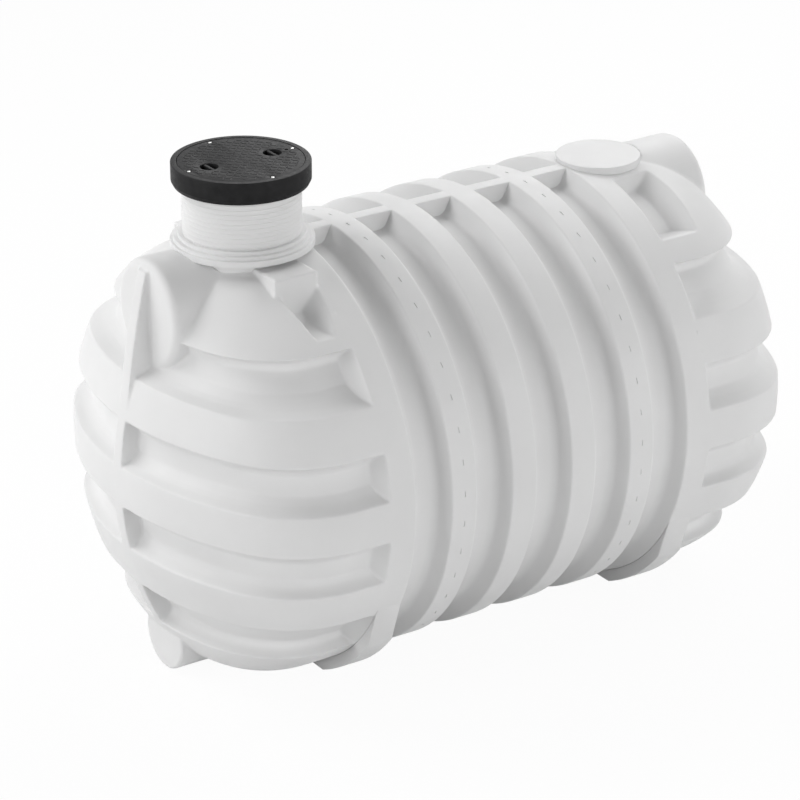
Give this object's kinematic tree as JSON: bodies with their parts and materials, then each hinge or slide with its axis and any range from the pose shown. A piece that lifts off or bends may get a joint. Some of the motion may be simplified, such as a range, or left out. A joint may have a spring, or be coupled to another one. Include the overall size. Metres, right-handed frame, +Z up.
{
  "type": "horizontal drinking water tank",
  "caption": "Ribbed white plastic tank lying on two feet, with domed banded ends, a manhole neck and a black round cover.",
  "frame": {"origin": "On the level of the feet, under the middle of the tank's length and width", "axes": "+X along the tank from the manhole end to the end with the blank pad, +Y across it, +Z up"},
  "size_m": [3.221, 1.95, 2.294],
  "materials": {
    "white_polyethylene": "matt, moulded",
    "black_polymer": "matt, ribbed",
    "stainless_steel": "brushed"
  },
  "bodies": {
    "root": {"hoop_rib_1": "white_polyethylene", "hoop_rib_2": "white_polyethylene", "hoop_rib_3": "white_polyethylene", "hoop_rib_4": "white_polyethylene", "hoop_rib_5": "white_polyethylene", "hoop_rib_6": "white_polyethylene", "barrel_trough_1": "white_polyethylene", "barrel_trough_2": "white_polyethylene", "barrel_trough_3": "white_polyethylene", "barrel_trough_4": "white_polyethylene", "barrel_trough_5": "white_polyethylene", "crest_spine": "white_polyethylene", "keel_spine": "white_polyethylene", "front_dome": "white_polyethylene", "front_band_1": "white_polyethylene", "front_band_2": "white_polyethylene", "front_band_3": "white_polyethylene", "front_crown": "white_polyethylene", "front_belly": "white_polyethylene", "front_pipe_boss": "white_polyethylene", "front_drain_boss": "white_polyethylene", "front_web": "white_polyethylene", "foot_front": "white_polyethylene", "rear_dome": "white_polyethylene", "rear_band_1": "white_polyethylene", "rear_band_2": "white_polyethylene", "rear_band_3": "white_polyethylene", "rear_crown": "white_polyethylene", "rear_belly": "white_polyethylene", "rear_pipe_boss": "white_polyethylene", "rear_drain_boss": "white_polyethylene", "rear_web": "white_polyethylene", "foot_rear": "white_polyethylene", "neck_collar": "white_polyethylene", "neck_lug_left": "white_polyethylene", "neck_lug_right": "white_polyethylene", "riser_shaft": "white_polyethylene", "rear_neck_pad": "white_polyethylene", "cover_frame": "black_polymer", "cover_lid": "black_polymer", "lid_screws": "stainless_steel"}
  },
  "joints": []
}
